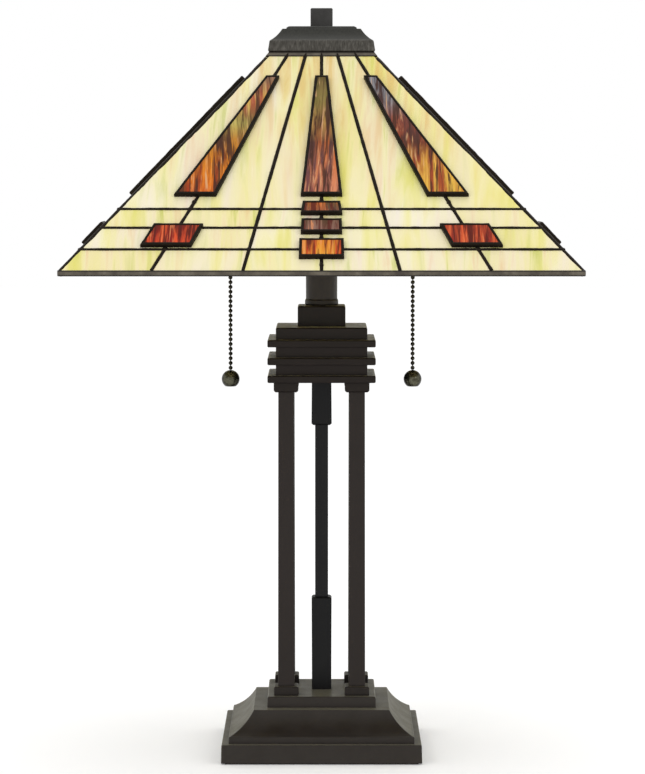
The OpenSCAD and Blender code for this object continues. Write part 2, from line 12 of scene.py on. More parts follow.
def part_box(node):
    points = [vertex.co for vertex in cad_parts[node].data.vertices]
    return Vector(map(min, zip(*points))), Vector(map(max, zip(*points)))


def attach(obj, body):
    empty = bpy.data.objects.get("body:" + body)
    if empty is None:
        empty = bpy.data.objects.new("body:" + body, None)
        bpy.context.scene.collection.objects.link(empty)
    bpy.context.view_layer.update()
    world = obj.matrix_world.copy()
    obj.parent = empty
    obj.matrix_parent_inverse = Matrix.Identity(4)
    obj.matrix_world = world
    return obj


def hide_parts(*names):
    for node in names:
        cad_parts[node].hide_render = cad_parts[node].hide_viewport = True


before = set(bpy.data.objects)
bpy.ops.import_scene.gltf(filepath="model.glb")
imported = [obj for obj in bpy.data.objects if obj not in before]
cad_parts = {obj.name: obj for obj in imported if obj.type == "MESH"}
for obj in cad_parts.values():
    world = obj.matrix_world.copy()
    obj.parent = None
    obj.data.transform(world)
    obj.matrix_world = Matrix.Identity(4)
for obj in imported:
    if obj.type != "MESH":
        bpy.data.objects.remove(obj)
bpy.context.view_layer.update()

MM = 0.001
SIDES = ("front", "right", "back", "left")
UP = Vector((0, 0, 1))
# A point of an outline this close to the line through its neighbours is dropped.
STRAIGHT = 0.00002


# ---- Reading the CAD frame ----

def welded(node):
    """A CAD node's points and triangles, with points that share a place joined."""
    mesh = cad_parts[node].data
    points = np.array([v.co for v in mesh.vertices])
    _, first, index = np.unique(np.round(points, 6), axis=0, return_index=True, return_inverse=True)
    index = index.ravel()
    triangles = [[index[v] for v in face.vertices] for face in mesh.polygons]
    return points[first], np.array([t for t in triangles if len(set(t)) == 3])


def solids(node):
    """The node's separate solids, each as (points, triangles)."""
    points, triangles = welded(node)
    label = np.arange(len(points))
    while True:
        lowest = label[triangles].min(axis=1)
        new = label.copy()
        for corner in range(3):
            np.minimum.at(new, triangles[:, corner], lowest)
        if (new == label).all():
            break
        label = new
    found = []
    for name in np.unique(label[triangles[:, 0]]):
        part = triangles[label[triangles[:, 0]] == name]
        used, local = np.unique(part, return_inverse=True)
        found.append((points[used], local.reshape(-1, 3)))
    return found


def profile(solid, radial=False):
    """The outer profile of an upright solid, as [half width or radius, height] from the bottom up,
    and the middle of its plan."""
    points, triangles = solid
    middle = (points.min(axis=0) + points.max(axis=0)) / 2
    local = points - [middle[0], middle[1], 0]
    edges = np.concatenate([triangles[:, [0, 1]], triangles[:, [1, 2]], triangles[:, [2, 0]]])
    low, high = local[edges[:, 0]], local[edges[:, 1]]
    levels = np.unique(np.round(points[:, 2], 6))
    step = 1e-6
    outline = []
    for z in levels:
        for probe in (z - 2 * step, z + 2 * step):
            if not levels[0] < probe < levels[-1]:
                continue
            crossing = (low[:, 2] - probe) * (high[:, 2] - probe) <= 0
            rise = high[crossing, 2] - low[crossing, 2]
            flat = np.abs(rise) < 1e-12
            share = np.where(flat, 0, (probe - low[crossing, 2]) / np.where(flat, 1, rise))
            at = low[crossing] + (high[crossing] - low[crossing]) * share[:, None]
            reach = np.hypot(at[:, 0], at[:, 1]).max() if radial else np.abs(at[:, :2]).max()
            outline.append((float(reach), float(z)))
    return tidy_outline(outline), Vector((middle[0], middle[1], 0))


def tidy_outline(outline):
    """Drops repeated points and points on a straight stretch."""
    kept = []
    for point in outline:
        if kept and math.dist(kept[-1], point) < STRAIGHT:
            continue
        while len(kept) > 1 and off_line(kept[-2], kept[-1], point) < STRAIGHT:
            kept.pop()
        kept.append(point)
    return kept


def off_line(a, b, c):
    """How far b is from the straight line between a and c."""
    length = math.dist(a, c)
    if length == 0:
        return math.dist(a, b)
    return abs((c[0] - a[0]) * (b[1] - a[1]) - (c[1] - a[1]) * (b[0] - a[0])) / length


# ---- Making pieces ----

def piece(name, bm, body, material, replaces=(), sharp_angle=40):
    """Turns a bmesh into a piece that rides on a body."""
    mesh = bpy.data.meshes.new(name)
    bmesh.ops.recalc_face_normals(bm, faces=bm.faces)
    bm.to_mesh(mesh)
    bm.free()
    mesh.shade_smooth()
    mesh.set_sharp_from_angle(angle=math.radians(sharp_angle))
    mesh.materials.append(material)
    obj = bpy.data.objects.new(name, mesh)
    bpy.context.scene.collection.objects.link(obj)
    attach(obj, body)
    if replaces:
        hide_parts(*replaces)
    return obj


def weight_normals(obj):
    """Keeps broad flat faces flat next to their rounded edges."""
    modifier = obj.modifiers.new("flat_faces", "WEIGHTED_NORMAL")
    modifier.keep_sharp = True
    modifier.weight = 80


def filleted(outline, radius, steps=4):
    """Rounds the corners of an open outline."""
    rounded = [outline[0]]
    for before, corner, after in zip(outline, outline[1:], outline[2:]):
        a, b, c = (Vector(p) for p in (before, corner, after))
        into, out = (a - b), (c - b)
        cut = min(radius, into.length * 0.45, out.length * 0.45)
        start, end = b + into.normalized() * cut, b + out.normalized() * cut
        for i in range(steps + 1):
            t = i / steps
            rounded.append(tuple(start * (1 - t) ** 2 + b * 2 * t * (1 - t) + end * t ** 2))
    rounded.append(outline[-1])
    return rounded


def square_ring(half, corner, steps):
    """A square with round corners, anticlockwise. It is nearly a circle if corner is half."""
    corner = min(corner, half * 0.9)
    ring = []
    for quarter in range(4):
        centre_x = (half - corner) * (1 if quarter in (0, 3) else -1)
        centre_y = (half - corner) * (1 if quarter < 2 else -1)
        for i in range(steps + 1):
            angle = math.radians(90 * quarter + 90 * i / steps)
            ring.append((centre_x + corner * math.cos(angle), centre_y + corner * math.sin(angle)))
    return ring


def round_ring(radius, count):
    """A circle, anticlockwise."""
    return [(radius * math.cos(2 * math.pi * i / count), radius * math.sin(2 * math.pi * i / count))
            for i in range(count)]


def stack_rings(bm, rings, closed=False):
    """Skins a list of rings of points. A closed stack joins its last ring to its first, and an
    open one is capped."""
    rows = [[bm.verts.new(p) for p in ring] for ring in rings]
    pairs = list(zip(rows, rows[1:]))
    if closed:
        pairs.append((rows[-1], rows[0]))
    for lower, upper in pairs:
        count = len(lower)
        for i in range(count):
            j = (i + 1) % count
            bm.faces.new((lower[i], lower[j], upper[j], upper[i]))
    if not closed:
        bm.faces.new(rows[0][::-1])
        bm.faces.new(rows[-1])


def square_loft(bm, outline, centre=Vector(), corner=0.8 * MM, steps=4, closed=False, bore=None):
    """A square-plan solid from its outline of [half width, height], with a bore, given as its radius
    and the height where it ends, that starts at the foot and can go right through."""
    rings = []
    if bore:
        radius, end = bore
        closed = end > outline[-1][1] - 0.01 * MM
        for z in (end, outline[0][1]):
            rings.append([Vector((x, y, z)) + centre for x, y in square_ring(radius, radius, steps)])
    for half, z in outline:
        rings.append([Vector((x, y, z)) + centre for x, y in square_ring(half, corner, steps)])
    stack_rings(bm, rings, closed)


def axis_bore(solid, centre):
    """The radius and the top of the hole on a solid's own axis."""
    points = solid[0] - np.array(centre)
    reach = np.hypot(points[:, 0], points[:, 1])
    wall = points[reach < reach.min() + 0.05 * MM]
    return float(reach.min()), float(wall[:, 2].max())


def lathe(bm, outline, centre, count):
    """A round solid from its outline of [radius, height]."""
    rings = [[Vector((x, y, z)) + centre for x, y in round_ring(r, count)] for r, z in outline]
    stack_rings(bm, rings)


def squares_from(name, node, body, material, corner, fillet, steps=4, bored=False):
    """Rebuilds a CAD node of square blocks with rounded edges, and with the stud's hole if bored."""
    bm = bmesh.new()
    for solid in solids(node):
        outline, centre = profile(solid)
        bore = axis_bore(solid, centre) if bored else None
        square_loft(bm, filleted(outline, fillet), centre, corner, steps, bore=bore)
    weight_normals(piece(name, bm, body, material, [node]))


# ---- Materials ----

def shader(name):
    """A new material, its node tree and its main shader."""
    material = bpy.data.materials.new(name)
    material.use_nodes = True
    tree = material.node_tree
    return material, tree, tree.nodes["Principled BSDF"]


def add(tree, kind, inputs=None, **settings):
    """Adds a node. An input given as a socket is linked; any other value is set."""
    made = tree.nodes.new(kind)
    for key, value in settings.items():
        setattr(made, key, value)
    for key, value in (inputs or {}).items():
        if isinstance(value, bpy.types.NodeSocket):
            tree.links.new(value, made.inputs[key])
        else:
            made.inputs[key].default_value = value
    return made


def ramp(tree, factor, stops):
    """A colour ramp over factor, from (position, colour) stops."""
    made = tree.nodes.new("ShaderNodeValToRGB")
    elements = made.color_ramp.elements
    while len(elements) < len(stops):
        elements.new(0.5)
    for element, (position, colour) in zip(elements, stops):
        element.position = position
        element.color = (*colour, 1)
    tree.links.new(factor, made.inputs["Fac"])
    return made.outputs["Color"]


def mix(tree, factor, a, b, blend="MIX"):
    """Mixes two colours by factor."""
    made = tree.nodes.new("ShaderNodeMix")
    made.data_type = "RGBA"
    made.blend_type = blend
    for index, value in ((0, factor), (6, a), (7, b)):
        if isinstance(value, bpy.types.NodeSocket):
            tree.links.new(value, made.inputs[index])
        else:
            made.inputs[index].default_value = value if index == 0 or len(value) == 4 else (*value, 1)
    return made.outputs[2]


def noise_of(tree, where, scale, detail=3, roughness=0.55, distortion=0.0):
    inputs = {"Vector": where, "Scale": scale, "Detail": detail, "Roughness": roughness,
              "Distortion": distortion}
    return add(tree, "ShaderNodeTexNoise", inputs).outputs["Fac"]


def object_place(tree):
    return add(tree, "ShaderNodeTexCoord").outputs["Object"]


def remap(tree, value, low, high, to_low, to_high):
    return add(tree, "ShaderNodeMapRange", {"Value": value, "From Min": low, "From Max": high,
                                            "To Min": to_low, "To Max": to_high}).outputs["Result"]


def bump(tree, height, strength, distance):
    return add(tree, "ShaderNodeBump", {"Height": height, "Strength": strength,
                                        "Distance": distance}).outputs["Normal"]


def painted_metal(name, dark, light, rough=(0.3, 0.45), specular=0.3, tint=(1.0, 0.94, 0.80), grain=1400,
                  sheen_colour=(0.068, 0.062, 0.040)):
    """Satin paint or patina over a casting: cloudy, finely grained and worn on high edges, with a painted
    sheen: a paler olive colour where it is seen at a slant stands in for its gloss there."""
    material, tree, main = shader(name)
    where = object_place(tree)
    cloud = noise_of(tree, where, 55, 4)
    speck = noise_of(tree, where, grain, 2)
    colour = ramp(tree, cloud, [(0.3, dark), (0.72, light)])
    high = add(tree, "ShaderNodeNewGeometry").outputs["Pointiness"]
    worn = remap(tree, high, 0.53, 0.62, 0.0, 0.35)
    facing = add(tree, "ShaderNodeLayerWeight", {"Blend": 0.5}).outputs["Facing"]
    tree.links.new(remap(tree, facing, 0.45, 0.78, specular, 0.012), main.inputs["Specular IOR Level"])
    main.inputs["Specular Tint"].default_value = (*tint, 1)
    colour = mix(tree, worn, colour, [c * 2.6 for c in light])
    # Painted sheen: a grained olive colour, mixed in where the surface is seen at a slant.
    slant_sheen = mix(tree, remap(tree, speck, 0.35, 0.65, 0.0, 1.0), sheen_colour, [c * 1.5 for c in sheen_colour])
    colour = mix(tree, remap(tree, facing, 0.62, 0.86, 0.0, 0.9), colour, slant_sheen)
    tree.links.new(colour, main.inputs["Base Color"])
    tree.links.new(remap(tree, cloud, 0.3, 0.7, *rough), main.inputs["Roughness"])
    tree.links.new(bump(tree, speck, 0.12, 0.0002), main.inputs["Normal"])
    return material


def bare_metal(name, colour, tarnish, rough=(0.25, 0.45), scale=160):
    """Brass, steel or aluminium with a little tarnish."""
    material, tree, main = shader(name)
    where = object_place(tree)
    cloud = noise_of(tree, where, scale, 5, 0.6)
    main.inputs["Metallic"].default_value = 1.0
    tree.links.new(ramp(tree, cloud, [(0.35, tarnish), (0.65, colour)]), main.inputs["Base Color"])
    tree.links.new(remap(tree, cloud, 0.3, 0.7, rough[1], rough[0]), main.inputs["Roughness"])
    tree.links.new(bump(tree, noise_of(tree, where, 1800, 2), 0.06, 0.0001), main.inputs["Normal"])
    return material


def plain_stuff(name, dark, light, scale, rough, relief=0.2):
    """Felt, fibre or moulded plastic: a mottled, finely textured surface."""
    material, tree, main = shader(name)
    where = object_place(tree)
    fine = noise_of(tree, where, scale, 5, 0.7)
    tree.links.new(ramp(tree, fine, [(0.35, dark), (0.65, light)]), main.inputs["Base Color"])
    tree.links.new(remap(tree, fine, 0.3, 0.7, rough, rough * 0.85), main.inputs["Roughness"])
    tree.links.new(bump(tree, fine, relief, 0.0003), main.inputs["Normal"])
    return material


def glass_place(tree, across, along):
    """Coordinates that follow each pane's own grain, stretched along it."""
    grain = add(tree, "ShaderNodeAttribute", attribute_name="grain").outputs["Vector"]
    return add(tree, "ShaderNodeMapping", {"Vector": grain, "Scale": (across, along, 1)}).outputs["Vector"]


def tone_of(tree):
    """The pane's own number, from 0 to 1."""
    return add(tree, "ShaderNodeAttribute", attribute_name="tone").outputs["Fac"]


def field_glass_material():
    """Opalescent cream glass with pale green, yellow and pinkish wisps down the slope, smokier
    towards the top of the shade."""
    material, tree, main = shader("opalescent_glass")
    streak = noise_of(tree, glass_place(tree, 62, 7), 1, 4, 0.5, 0.5)
    wisp = noise_of(tree, glass_place(tree, 120, 10), 1, 5, 0.55, 0.8)
    broad = noise_of(tree, glass_place(tree, 24, 8), 1, 3, 0.5, 0.5)
    base = ramp(tree, streak, [(0.32, (0.68, 0.65, 0.19)), (0.43, (0.77, 0.72, 0.35)),
                               (0.52, (0.80, 0.75, 0.52)), (0.66, (0.79, 0.72, 0.62))])
    blush = ramp(tree, wisp, [(0.32, (0.52, 0.54, 0.16)), (0.45, (0.76, 0.70, 0.40)),
                              (0.56, (0.78, 0.69, 0.50)), (0.68, (0.74, 0.55, 0.38))])
    colour = mix(tree, remap(tree, broad, 0.38, 0.62, 0.0, 0.8), base, blush)
    height = add(tree, "ShaderNodeSeparateXYZ", {"Vector": object_place(tree)}).outputs["Z"]
    smoky_from, smoky_to = 0.47, 0.575
    high = remap(tree, height, smoky_from, smoky_to, 0.0, 1.0)
    smoke = add(tree, "ShaderNodeMath", {0: high, 1: remap(tree, wisp, 0.44, 0.60, 0.05, 0.85)},
                operation="MULTIPLY").outputs[0]
    colour = mix(tree, smoke, colour, (0.66, 0.46, 0.17))
    toned = mix(tree, tone_of(tree), colour, (0.98, 0.95, 0.72), "MULTIPLY")
    tree.links.new(toned, main.inputs["Base Color"])
    tree.links.new(remap(tree, streak, 0.3, 0.7, 0.2, 0.34), main.inputs["Roughness"])
    main.inputs["Specular IOR Level"].default_value = 0.25
    tree.links.new(bump(tree, wisp, 0.05, 0.0004), main.inputs["Normal"])
    return material


def accent_glass_material(name, dark, pale):
    """Streaky glass: each pane's own two colours run together, with dark and pale streaks."""
    material, tree, main = shader(name)
    first = add(tree, "ShaderNodeAttribute", attribute_name="first").outputs["Color"]
    second = add(tree, "ShaderNodeAttribute", attribute_name="second").outputs["Color"]
    streak = noise_of(tree, glass_place(tree, 125, 11), 1, 4, 0.6, 0.9)
    fine = noise_of(tree, glass_place(tree, 400, 26), 1, 4, 0.6, 1.0)
    shade = noise_of(tree, glass_place(tree, 260, 17), 1, 4, 0.6, 0.9)
    colour = mix(tree, remap(tree, mix(tree, 0.3, streak, fine), 0.43, 0.56, 0.0, 1.0), first, second)
    colour = mix(tree, remap(tree, shade, 0.50, 0.59, 0.0, 0.9), colour, dark)
    colour = mix(tree, remap(tree, mix(tree, 0.6, shade, fine), 0.44, 0.37, 0.0, 0.8), colour, pale)
    tree.links.new(colour, main.inputs["Base Color"])
    tree.links.new(remap(tree, streak, 0.3, 0.7, 0.14, 0.26), main.inputs["Roughness"])
    main.inputs["Specular IOR Level"].default_value = 0.08
    tree.links.new(bump(tree, fine, 0.05, 0.0004), main.inputs["Normal"])
    return material


def edge_band(tree, low, high, width):
    """1 close to two heights, 0 between them."""
    height = add(tree, "ShaderNodeSeparateXYZ", {"Vector": object_place(tree)}).outputs["Z"]
    near_low = remap(tree, height, low + 0.4 * width, low + width, 1.0, 0.0)
    near_high = remap(tree, height, high - width, high - 0.4 * width, 0.0, 1.0)
    return add(tree, "ShaderNodeMath", {0: near_low, 1: near_high}, operation="MAXIMUM").outputs[0]


def rim_material(name, low, high):
    """Cloudy patinated solder, with painted shade: near black along both edges of the band."""
    material, tree, main = shader(name)
    where = object_place(tree)
    cloud = noise_of(tree, where, 90, 5, 0.65)
    band_colour = ramp(tree, cloud, [(0.32, (0.050, 0.040, 0.030)), (0.55, (0.095, 0.080, 0.058)),
                                (0.72, (0.150, 0.130, 0.100))])
    # Painted shade: near black close to the band's bottom and top edges.
    colour = mix(tree, edge_band(tree, low, high, 1.4 * MM), band_colour, (0.012, 0.009, 0.007))
    tree.links.new(colour, main.inputs["Base Color"])
    tree.links.new(remap(tree, cloud, 0.3, 0.7, 0.45, 0.3), main.inputs["Roughness"])
    main.inputs["Specular IOR Level"].default_value = 0.25
    tree.links.new(bump(tree, noise_of(tree, where, 500, 4), 0.35, 0.0003), main.inputs["Normal"])
    return material


def cap_material(eave_top):
    """Pewter paint brushed downwards, with painted light and shade: paler on the upright edge below
    eave_top, darker on the roof above it.
    """
    material, tree, main = shader("brushed_pewter")
    where = object_place(tree)
    drawn = add(tree, "ShaderNodeMapping", {"Vector": where, "Scale": (1, 1, 0.12)}).outputs["Vector"]
    brush = noise_of(tree, drawn, 900, 4, 0.65)
    cloud = noise_of(tree, where, 120, 4, 0.6)
    height = add(tree, "ShaderNodeSeparateXYZ", {"Vector": where}).outputs["Z"]
    # Painted shade on the roof and painted light on the upright edge, for how the light falls on them.
    roof = ramp(tree, brush, [(0.35, (0.016, 0.016, 0.013)), (0.65, (0.034, 0.034, 0.028))])
    edge = ramp(tree, brush, [(0.32, (0.030, 0.027, 0.021)), (0.52, (0.066, 0.061, 0.052)),
                              (0.70, (0.120, 0.112, 0.098))])
    colour = mix(tree, remap(tree, height, eave_top, eave_top + 1.5 * MM, 0.0, 1.0), edge, roof)
    colour = mix(tree, remap(tree, cloud, 0.35, 0.65, 0.0, 0.35), colour, (0.018, 0.017, 0.014))
    tree.links.new(colour, main.inputs["Base Color"])
    tree.links.new(remap(tree, brush, 0.3, 0.7, 0.4, 0.55), main.inputs["Roughness"])
    main.inputs["Specular IOR Level"].default_value = 0.18
    tree.links.new(bump(tree, brush, 0.2, 0.0002), main.inputs["Normal"])
    return material


def antique_material(name, dark, light):
    """Dark antique brass, painted darker towards its outline as seen: a painted shade that leaves its face
    lighter.
    """
    material, tree, main = shader(name)
    where = object_place(tree)
    cloud = noise_of(tree, where, 420, 4, 0.6)
    facing = add(tree, "ShaderNodeLayerWeight", {"Blend": 0.4}).outputs["Facing"]
    face = ramp(tree, cloud, [(0.35, dark), (0.65, light)])
    # Painted shade: the colour goes near black towards the outline, by how the surface faces the view.
    tree.links.new(mix(tree, remap(tree, facing, 0.15, 0.62, 0.0, 1.0), face, (0.006, 0.005, 0.004)),
                   main.inputs["Base Color"])
    main.inputs["Metallic"].default_value = 0.85
    tree.links.new(remap(tree, cloud, 0.3, 0.7, 0.16, 0.26), main.inputs["Roughness"])
    tree.links.new(bump(tree, cloud, 0.05, 0.0002), main.inputs["Normal"])
    return material


def make_materials():
    rim_low, rim_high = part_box("rim_frame")
    top_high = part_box("top_frame")[1].z
    # The visible part of the top frame, below the cap's eave, and the upright edge of the cap.
    top_band = (top_high - 4.4 * MM, top_high - 0.6 * MM)
    eave_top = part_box("cap")[0].z + 8.6 * MM
    return {
        "bronze": painted_metal("dark_bronze", (0.0115, 0.0088, 0.0086), (0.0180, 0.0148, 0.0142),
                                sheen_colour=(0.105, 0.099, 0.072)),
        # A darker copy of the bronze paint: painted shade on the posts and their feet.
        "shaded_post_bronze": painted_metal("shaded_post_bronze", (0.0062, 0.0040, 0.0044), (0.0105, 0.0076, 0.0080),
                                     specular=0.25),
        # A darker copy of the bronze paint: painted shade on the capitals and the block under the shade,
        # with a brighter painted sheen on its tops that stands in for the studio light.
        "shaded_block_bronze": painted_metal("shaded_block_bronze", (0.0056, 0.0030, 0.0034), (0.0100, 0.0066, 0.0070),
                                      specular=0.22, sheen_colour=(0.20, 0.19, 0.13)),
        "black": painted_metal("black_satin", (0.0045, 0.0045, 0.0047), (0.0072, 0.0072, 0.0076),
                               specular=0.17, tint=(1, 1, 1), sheen_colour=(0.020, 0.020, 0.020)),
        "pewter": painted_metal("dark_pewter", (0.028, 0.028, 0.029), (0.060, 0.060, 0.061),
                                specular=0.25, grain=700),
        "lead": painted_metal("patina_solder", (0.0050, 0.0036, 0.0026), (0.0110, 0.0080, 0.0058),
                              rough=(0.25, 0.45), specular=0.09, tint=(1.0, 0.85, 0.68), grain=900,
                              sheen_colour=(0.030, 0.025, 0.018)),
        "rim": rim_material("rim_patina_and_shade", rim_low.z, rim_high.z),
        "top_rim": rim_material("top_frame_patina_and_shade", *top_band),
        "cap": cap_material(eave_top),
        "pull": antique_material("antique_brass", (0.040, 0.038, 0.024), (0.130, 0.126, 0.086)),
        "bead": antique_material("dark_bead_chain", (0.016, 0.015, 0.010), (0.042, 0.040, 0.026)),
        "brass": bare_metal("socket_brass", (0.62, 0.46, 0.20), (0.36, 0.25, 0.10)),
        "steel": bare_metal("zinc_steel", (0.62, 0.62, 0.63), (0.40, 0.40, 0.42)),
        "bulb_cap": bare_metal("bulb_cap", (0.75, 0.74, 0.70), (0.52, 0.51, 0.48)),
        "bulb": plain_stuff("frosted_bulb", (0.84, 0.83, 0.78), (0.90, 0.89, 0.85), 300, 0.35, 0.02),
        "felt": plain_stuff("felt", (0.012, 0.010, 0.009), (0.030, 0.026, 0.022), 2500, 0.95, 0.8),
        "fibre": plain_stuff("liner_fibre", (0.20, 0.14, 0.08), (0.30, 0.22, 0.13), 900, 0.85),
        "phenolic": plain_stuff("phenolic", (0.018, 0.014, 0.012), (0.032, 0.026, 0.022), 700, 0.45),
        "rubber": plain_stuff("bushing_plastic", (0.012, 0.012, 0.012), (0.022, 0.022, 0.022), 900, 0.5),
        "wire": plain_stuff("wire_insulation", (0.42, 0.33, 0.18), (0.52, 0.42, 0.25), 400, 0.5),
        "iron": plain_stuff("ballast_iron", (0.05, 0.047, 0.043), (0.09, 0.085, 0.08), 500, 0.7, 0.6),
        "cream": field_glass_material(),
        "amber": accent_glass_material("amber_glass", (0.055, 0.022, 0.014), (0.60, 0.34, 0.17)),
        "red": accent_glass_material("red_glass", (0.085, 0.014, 0.010), (0.70, 0.26, 0.10)),
    }


# ---- The shade's panels ----

# Each pane's two colours at rising shares of its height. The long accents run
# left, middle, right; the border accents run from the rim up.
LONG_STAINS = (
    ((0.00, (0.66, 0.15, 0.012), (0.30, 0.04, 0.012)), (0.30, (0.66, 0.24, 0.020), (0.20, 0.045, 0.012)),
     (0.45, (0.44, 0.19, 0.03), (0.12, 0.055, 0.02)), (0.60, (0.44, 0.38, 0.10), (0.16, 0.11, 0.035)),
     (0.80, (0.60, 0.36, 0.08), (0.36, 0.08, 0.04)), (1.00, (0.24, 0.13, 0.09), (0.13, 0.07, 0.04))),
    ((0.00, (0.60, 0.22, 0.11), (0.17, 0.05, 0.045)), (0.22, (0.54, 0.16, 0.06), (0.12, 0.05, 0.05)),
     (0.42, (0.52, 0.13, 0.03), (0.07, 0.030, 0.025)), (0.60, (0.07, 0.030, 0.015), (0.40, 0.22, 0.06)),
     (0.80, (0.15, 0.12, 0.03), (0.23, 0.17, 0.05)), (1.00, (0.07, 0.065, 0.015), (0.14, 0.09, 0.03))),
    ((0.00, (0.66, 0.40, 0.06), (0.34, 0.07, 0.02)), (0.25, (0.74, 0.40, 0.06), (0.26, 0.05, 0.02)),
     (0.42, (0.24, 0.05, 0.02), (0.08, 0.03, 0.02)), (0.64, (0.26, 0.07, 0.04), (0.09, 0.035, 0.035)),
     (0.80, (0.30, 0.30, 0.31), (0.07, 0.045, 0.05)), (1.00, (0.22, 0.22, 0.24), (0.045, 0.032, 0.036))))
BORDER_STAINS = (
    ((0.00, (0.74, 0.34, 0.04), (0.46, 0.04, 0.012)), (1.00, (0.66, 0.22, 0.02), (0.36, 0.05, 0.02))),
    ((0.00, (0.66, 0.08, 0.025), (0.26, 0.020, 0.015)), (1.00, (0.54, 0.08, 0.025), (0.14, 0.015, 0.010))),
    ((0.00, (0.72, 0.13, 0.040), (0.26, 0.025, 0.015)), (1.00, (0.62, 0.09, 0.030), (0.18, 0.025, 0.015))),
    ((0.00, (0.24, 0.13, 0.10), (0.12, 0.045, 0.030)), (1.00, (0.22, 0.12, 0.08), (0.07, 0.035, 0.015))),
    ((0.00, (0.36, 0.10, 0.035), (0.10, 0.05, 0.035)), (1.00, (0.46, 0.11, 0.02), (0.10, 0.07, 0.03))))


class Panel:
    """One side of the shade: x across it, y up its slope and n out of it."""

    def __init__(self, side):
        self.side = side
        self.turn = Matrix.Rotation(math.radians(90 * side), 3, "Z")
        points, triangles = welded("field_glass_" + SIDES[side])
        corners = points[triangles]
        normals = np.cross(corners[:, 1] - corners[:, 0], corners[:, 2] - corners[:, 0])
        broadest = normals[np.argmax(np.linalg.norm(normals, axis=1))]
        if broadest[2] < 0:
            broadest = -broadest
        normal = Vector(broadest).normalized()
        across = self.turn @ Vector((1, 0, 0))
        self.axes = Matrix((across, normal.cross(across), normal))
        reach = points @ np.array(normal)
        self.offset = reach.max()
        # The rim line is the lowest glass point's height on the outer face.
        self.origin = self.point_at_height(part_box("field_glass_" + SIDES[side])[0].z, normal)

    def point_at_height(self, z, normal):
        """The middle of the outer face at a height."""
        outward = self.turn @ Vector((0, -1, 0))
        distance = (self.offset - z * normal.z) / normal.dot(outward)
        return outward * distance + UP * z

    def local(self, points):
        """Points in the panel's own x, y and n."""
        return (points - np.array(self.origin)) @ np.array(self.axes).T

    def world(self, x, y, n):
        return self.origin + self.axes.transposed() @ Vector((x, y, n))


def face_outline(points, triangles):
    """The outline of a plate's outer face, anticlockwise, from its points in the panel's axes."""
    top = points[:, 2].max()
    on_top = points[:, 2] > top - 1e-5
    face = triangles[on_top[triangles].all(axis=1)]
    edges = {}
    for triangle in face:
        a, b, c = points[triangle][:, :2]
        turn = (b[0] - a[0]) * (c[1] - a[1]) - (b[1] - a[1]) * (c[0] - a[0])
        order = triangle if turn > 0 else triangle[::-1]
        for i in range(3):
            edges[(order[i], order[(i + 1) % 3])] = True
    following = {a: b for a, b in edges if (b, a) not in edges}
    start = min(following)
    loop, current = [start], following[start]
    while current != start:
        loop.append(current)
        current = following[current]
    outline = [tuple(points[i][:2]) for i in loop]
    count = len(outline)
    return [p for i, p in enumerate(outline)
            if off_line(outline[i - 1], p, outline[(i + 1) % count]) > STRAIGHT]


def panes(node, panel):
    """The outlines and heights out of the panel of a node's glass pieces on one panel."""
    found = []
    # The panes of the other panels reach further than this from the panel's plane.
    reach = 12 * MM
    for points, triangles in solids(node):
        local = panel.local(points)
        if abs(local[:, 2]).max() < reach:
            found.append((face_outline(local, triangles), local[:, 2].min(), local[:, 2].max()))
    return sorted(found, key=lambda pane: (round(sum(p[1] for p in pane[0]) / len(pane[0]), 3),
                                           sum(p[0] for p in pane[0])))


def stain_at(stain, height):
    """A pane's two colours at a share of its height."""
    for (low, *below), (high, *above) in zip(stain, stain[1:]):
        if height <= high:
            share = max(0.0, (height - low) / (high - low))
            return [Vector(a).lerp(Vector(b), share) for a, b in zip(below, above)]
    return [Vector(c) for c in stain[-1][1:]]


def gridded(outline, grid):
    """A flat mesh of an outline, cut into squares."""
    plate = bmesh.new()
    plate.faces.new([plate.verts.new((x, y, 0)) for x, y in outline])
    for axis in (0, 1):
        start = min(p[axis] for p in outline)
        end = max(p[axis] for p in outline)
        for step in range(1, int((end - start) / grid) + 1):
            at, normal = Vector(), Vector()
            at[axis], normal[axis] = start + step * grid, 1
            bmesh.ops.bisect_plane(plate, geom=plate.verts[:] + plate.edges[:] + plate.faces[:],
                                   dist=1e-7, plane_co=at, plane_no=normal)
    return plate


def layer(kinds, name):
    return kinds.get(name) or kinds.new(name)


# The size of a pane's squares and the depth of its ripples.
FIELD_GRID, FIELD_RIPPLE = 5 * MM, 0.16 * MM
ACCENT_GRID, ACCENT_RIPPLE = 3.5 * MM, 0.18 * MM


def glass_mesh(bm, panel, pane, rng, grid, ripple, stain=None):
    """One pane: its outline gridded, thickened and gently rippled like rolled glass."""
    outline, low, high = pane
    layers = bm.verts.layers
    grain, tone = layer(layers.float_vector, "grain"), layer(layers.float, "tone")
    first, second = layer(layers.float_color, "first"), layer(layers.float_color, "second")
    shift = Vector((rng.uniform(-4, 4), rng.uniform(-4, 4), rng.uniform(0, 50)))
    lean = rng.uniform(-0.06, 0.06)
    own_tone = rng.random()
    bottom = min(p[1] for p in outline)
    span = max(p[1] for p in outline) - bottom
    plate = gridded(outline, grid)
    made = {}
    for level, n in ((0, high), (1, low)):
        for vert in plate.verts:
            x, y = vert.co.x, vert.co.y
            wave = noise.noise(Vector((x * 45, y * 30, level * 7)) + shift) * ripple
            new = bm.verts.new(panel.world(x, y, n + wave))
            new[grain] = Vector((x + lean * y, y, 0)) + shift
            new[tone] = own_tone
            if stain:
                new[first], new[second] = ((*c, 1) for c in stain_at(stain, (y - bottom) / span))
            made[level, vert] = new
    for face in plate.faces:
        bm.faces.new([made[0, v] for v in face.verts])
        bm.faces.new([made[1, v] for v in reversed(face.verts)])
    for edge in plate.edges:
        if edge.is_boundary:
            a, b = edge.verts
            bm.faces.new((made[0, a], made[1, a], made[1, b], made[0, b]))
    plate.free()


